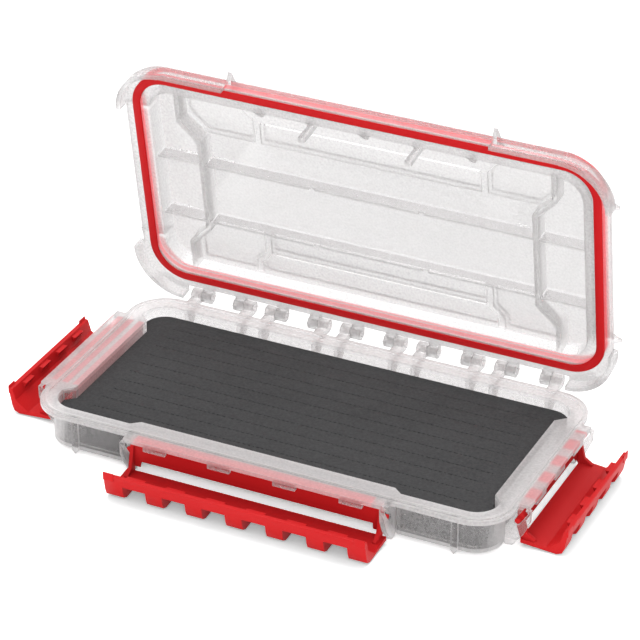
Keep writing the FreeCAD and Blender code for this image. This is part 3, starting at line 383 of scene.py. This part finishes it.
# The pieces keep the frame's shapes, with every edge slightly rounded.
mouldings = {
    "base_tray": {
        "name": "trayMoulding", "body": "base", "finish": "tray", "slot": "clear_plastic", "round": 0.35},
    "lid": {
        "name": "lidMoulding", "body": "lid", "finish": "lid", "slot": "clear_plastic", "round": 0.35},
    "lid_gasket": {
        "name": "sealLoop", "body": "lid", "finish": "seal", "slot": "gasket", "round": 0.45},
    "front_latch": {
        "name": "frontLatch", "body": "front_latch", "finish": "red", "slot": "latch_plastic", "round": 0.4},
    "left_latch": {
        "name": "leftLatch", "body": "left_latch", "finish": "red", "slot": "latch_plastic", "round": 0.4},
    "right_latch": {
        "name": "rightLatch", "body": "right_latch", "finish": "red", "slot": "latch_plastic", "round": 0.4},
    "hinge_rod": {
        "name": "hingeRod", "body": "base", "finish": "rod", "slot": "rod", "round": 0.2},
    "foam_insert": {
        "name": "foamBlock", "body": "base", "finish": "foam", "slot": "foam", "round": 0.5},
}
roundLook = {"merge": 0.002, "flat": 0.5, "sharp": 32, "segments": 2}  # flat and sharp in degrees


def roundedCopy(node, plan):
    mesh = bpy.data.meshes.new(plan["name"])
    work = bmesh.new()
    work.from_mesh(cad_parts[node].data)
    bmesh.ops.remove_doubles(work, verts=work.verts, dist=roundLook["merge"] * mm)
    bmesh.ops.dissolve_limit(work, angle_limit=math.radians(roundLook["flat"]), verts=work.verts,
                             edges=work.edges, use_dissolve_boundaries=False)
    work.to_mesh(mesh)
    work.free()
    mesh.materials.clear()
    mesh.materials.append(finishes[plan["finish"]])
    for face in mesh.polygons:
        face.material_index = 0
    piece = placed(plan["name"], mesh)
    bevel = piece.modifiers.new("edges", "BEVEL")
    bevel.width = plan["round"] * mm
    bevel.segments = roundLook["segments"]
    bevel.limit_method = "ANGLE"
    bevel.angle_limit = math.radians(roundLook["sharp"])
    bevel.harden_normals = True
    bevel.use_clamp_overlap = True
    mesh.shade_smooth()
    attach(piece, plan["body"])
    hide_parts(node)
    return piece


pieces = {node: roundedCopy(node, plan) for node, plan in mouldings.items()}
print("mouldings ready")


# Foam bridges: the slits are cut as dashes, so short webs of foam close them here and there.
bridgeLook = {
    "rows": 10, "rowPitch": 8.65, "rowShift": 1.9, "halfLength": 93.5, "count": 78, "top": 16.36,
    "long": 1.0, "wide": 0.75, "deep": 0.6, "jitter": 0.5, "seed": 7,
}


def addInput(tree, name, kind):
    return tree.interface.new_socket(name, in_out="INPUT", socket_type=kind).identifier


def bridgeGroup():
    tree = bpy.data.node_groups.new("foamBridges", "GeometryNodeTree")
    kinds = {
        "Rows": "Int", "Row Length": "Float", "Rows Width": "Float", "Count": "Int", "Place": "Vector",
        "Web Size": "Vector", "Jitter": "Float", "Seed": "Int", "Finish": "Material",
    }
    inputs = {name: addInput(tree, name, "NodeSocket" + kind) for name, kind in kinds.items()}
    tree.interface.new_socket("Geometry", in_out="OUTPUT", socket_type="NodeSocketGeometry")
    graph = Graph(tree)
    given = graph.node("NodeGroupInput")
    grid = graph.node("GeometryNodeMeshGrid", {}, {
        "Size X": given["Row Length"], "Size Y": given["Rows Width"],
        "Vertices X": given["Count"], "Vertices Y": given["Rows"]})["Mesh"]
    slide = graph.node("FunctionNodeRandomValue", {"data_type": "FLOAT"}, {
        2: -given["Jitter"], 3: given["Jitter"], "Seed": given["Seed"]})[1]
    offset = graph.node("ShaderNodeCombineXYZ", {}, {"X": slide})["Vector"]
    spots = graph.node("GeometryNodeSetPosition", {}, {"Geometry": grid, "Offset": offset})["Geometry"]
    web = graph.node("GeometryNodeMeshCube", {}, {"Size": given["Web Size"]})["Mesh"]
    webs = graph.node("GeometryNodeInstanceOnPoints", {}, {"Points": spots, "Instance": web})["Instances"]
    real = graph.node("GeometryNodeRealizeInstances", {}, {"Geometry": webs})["Geometry"]
    moved = graph.node("GeometryNodeTransform", {}, {
        "Geometry": real, "Translation": given["Place"]})["Geometry"]
    done = graph.node("GeometryNodeSetMaterial", {}, {
        "Geometry": moved, "Material": given["Finish"]})["Geometry"]
    graph.node("NodeGroupOutput", {}, {"Geometry": done})
    return tree, inputs


def grown(name, group, values):
    # Runs a group once and keeps its mesh, without the modifier.
    tree, inputs = group
    seedling = placed(name + "Seedling", bpy.data.meshes.new(name + "Seedling"))
    modifier = seedling.modifiers.new("grow", "NODES")
    modifier.node_group = tree
    for label, value in values.items():
        modifier[inputs[label]] = value
    seedling.update_tag()
    bpy.context.view_layer.update()
    ready = seedling.evaluated_get(bpy.context.evaluated_depsgraph_get())
    mesh = bpy.data.meshes.new_from_object(ready)
    mesh.name = name
    seedling.modifiers.remove(modifier)
    bpy.data.objects.remove(seedling)
    return placed(name, mesh)


def makeBridges():
    look = bridgeLook
    webs = grown("foamBridges", bridgeGroup(), {
        "Rows": look["rows"], "Row Length": 2 * look["halfLength"] * mm,
        "Rows Width": (look["rows"] - 1) * look["rowPitch"] * mm, "Count": look["count"],
        "Place": (0, look["rowShift"] * mm, (look["top"] - look["deep"] / 2) * mm),
        "Web Size": (look["long"] * mm, look["wide"] * mm, look["deep"] * mm),
        "Jitter": look["jitter"] * mm, "Seed": look["seed"], "Finish": finishes["foam"]})
    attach(webs, "base")


makeBridges()
print("foam bridges ready")


# Floor: what is seen of it is overexposed, most of all before the box, where its shadow stays narrow.
floorLook = {
    "half": 12000, "diffuse": 0.94, "glow": 0.15, "farStart": 800, "farSoft": 600, "farGlow": 0.6,
    "nearWhite": 1.36, "nearEdge": 80, "nearSoft": 30,
}


def floorWhite(graph):
    look = floorLook
    light = graph.node("ShaderNodeLightPath")
    seen = light["Is Camera Ray"] + light["Is Glossy Ray"] + light["Is Transmission Ray"]
    place = graph.split("Object")
    near = (look["nearEdge"] * mm - place["Y"]).step(look["nearSoft"] * mm) * seen
    tone = graph.mixColour(near, grey(look["diffuse"]), grey(look["nearWhite"]))
    base = graph.node("ShaderNodeBsdfDiffuse", {}, {"Color": tone})
    away = (place["X"] * place["X"] + place["Y"] * place["Y"]).root()
    far = (away - look["farStart"] * mm).step(look["farSoft"] * mm) * look["farGlow"]
    glow = graph.node("ShaderNodeEmission", {}, {"Strength": seen * (far + look["glow"])})
    return graph.node("ShaderNodeAddShader", {}, {0: base["BSDF"], 1: glow["Emission"]})["Shader"]


def makeFloor():
    half = floorLook["half"] * mm
    corners = [(-half, -half, 0), (half, -half, 0), (half, half, 0), (-half, half, 0)]
    mesh = bpy.data.meshes.new("floor")
    mesh.from_pydata(corners, [], [(0, 1, 2, 3)])
    mesh.materials.append(newMaterial("floorWhite", floorWhite))
    floor = placed("floor", mesh)


# The room lights the pieces, and it looks white.
roomLook = {"light": 0.90, "seen": 1.0}


def makeRoom():
    world = bpy.data.worlds.new("studio")
    bpy.context.scene.world = world
    world.use_nodes = True
    graph = Graph(world.node_tree)
    ray = graph.node("ShaderNodeLightPath")
    light = graph.node("ShaderNodeBackground", {}, {"Strength": roomLook["light"]})["Background"]
    white = graph.node("ShaderNodeBackground", {}, {
        "Color": grey(1), "Strength": roomLook["seen"]})["Background"]
    seen = ray["Is Camera Ray"] + ray["Is Transmission Ray"]
    graph.node("ShaderNodeOutputWorld", {}, {
        "Surface": graph.node("ShaderNodeMixShader", {}, {0: seen, 1: light, 2: white})["Shader"]})


# Square lamps, in metres and watts
lamps = {
    "keyLamp": {"power": 13.0, "width": 1.2, "place": (-0.25, 0.45, 1.6), "target": (0, 0, 0)},
    "fillLamp": {"power": 9.5, "width": 1.2, "place": (0.6, -1.5, 0.5), "target": (0, 0, 0)},
    "rimLamp": {"power": 4.0, "width": 1.2, "place": (0.2, 1.2, 1.1), "target": (0, 0, 0.05)},
}


def makeLamp(name, plan):
    light = bpy.data.lights.new(name, "AREA")
    light.energy = plan["power"]
    light.size = plan["width"]
    aim(placed(name, light), plan["place"], plan["target"])


# Camera, in metres, with its lens and sensor in millimetres
viewLook = {
    "place": (0.54737, -1.13246, 0.79099), "target": (-0.00524, 0.01835, 0.05543),
    "lens": 180.23, "sensor": 36.0, "near": 0.05, "far": 20,
}


def makeCamera():
    data = bpy.data.cameras.new("camera")
    data.lens = viewLook["lens"]
    data.sensor_width = viewLook["sensor"]
    data.clip_start = viewLook["near"]
    data.clip_end = viewLook["far"]
    camera = placed("camera", data)
    aim(camera, viewLook["place"], viewLook["target"])
    bpy.context.scene.camera = camera


makeFloor()
makeRoom()
for name, plan in lamps.items():
    makeLamp(name, plan)
makeCamera()
bpy.context.scene.view_settings.view_transform = "Standard"
print("stage ready")
